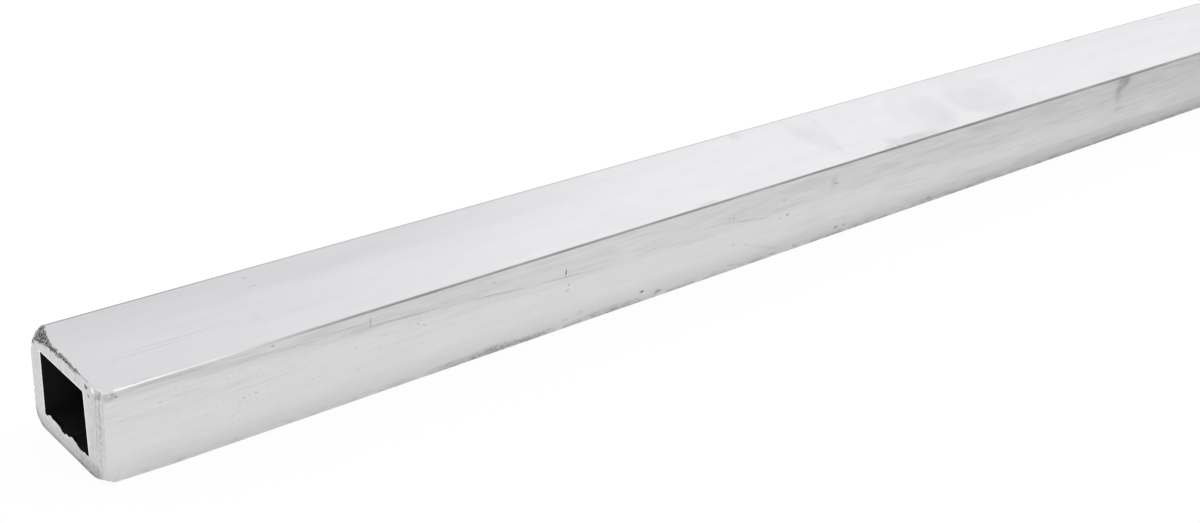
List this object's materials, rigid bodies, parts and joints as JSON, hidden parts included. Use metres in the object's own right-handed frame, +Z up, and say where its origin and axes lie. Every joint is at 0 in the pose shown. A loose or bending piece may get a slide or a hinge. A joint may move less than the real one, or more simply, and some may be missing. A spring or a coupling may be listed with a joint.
{
  "type": "square metal tube",
  "caption": "Mill-finish square aluminium tube with a thick wall and a square bore, hand-sawn and dressed at one end.",
  "frame": {"origin": "centre of the underside, halfway along the tube", "axes": "+X along the tube towards the square-cut end, the hand-sawn end at -X, +Z up, the side seen in the picture faces -Y"},
  "size_m": [1.002, 0.025, 0.025],
  "materials": {
    "mill_aluminium": "mill finish with fine die lines, sawn and filed at one end"
  },
  "bodies": {
    "root": {"square_tube": "mill_aluminium"}
  },
  "joints": []
}
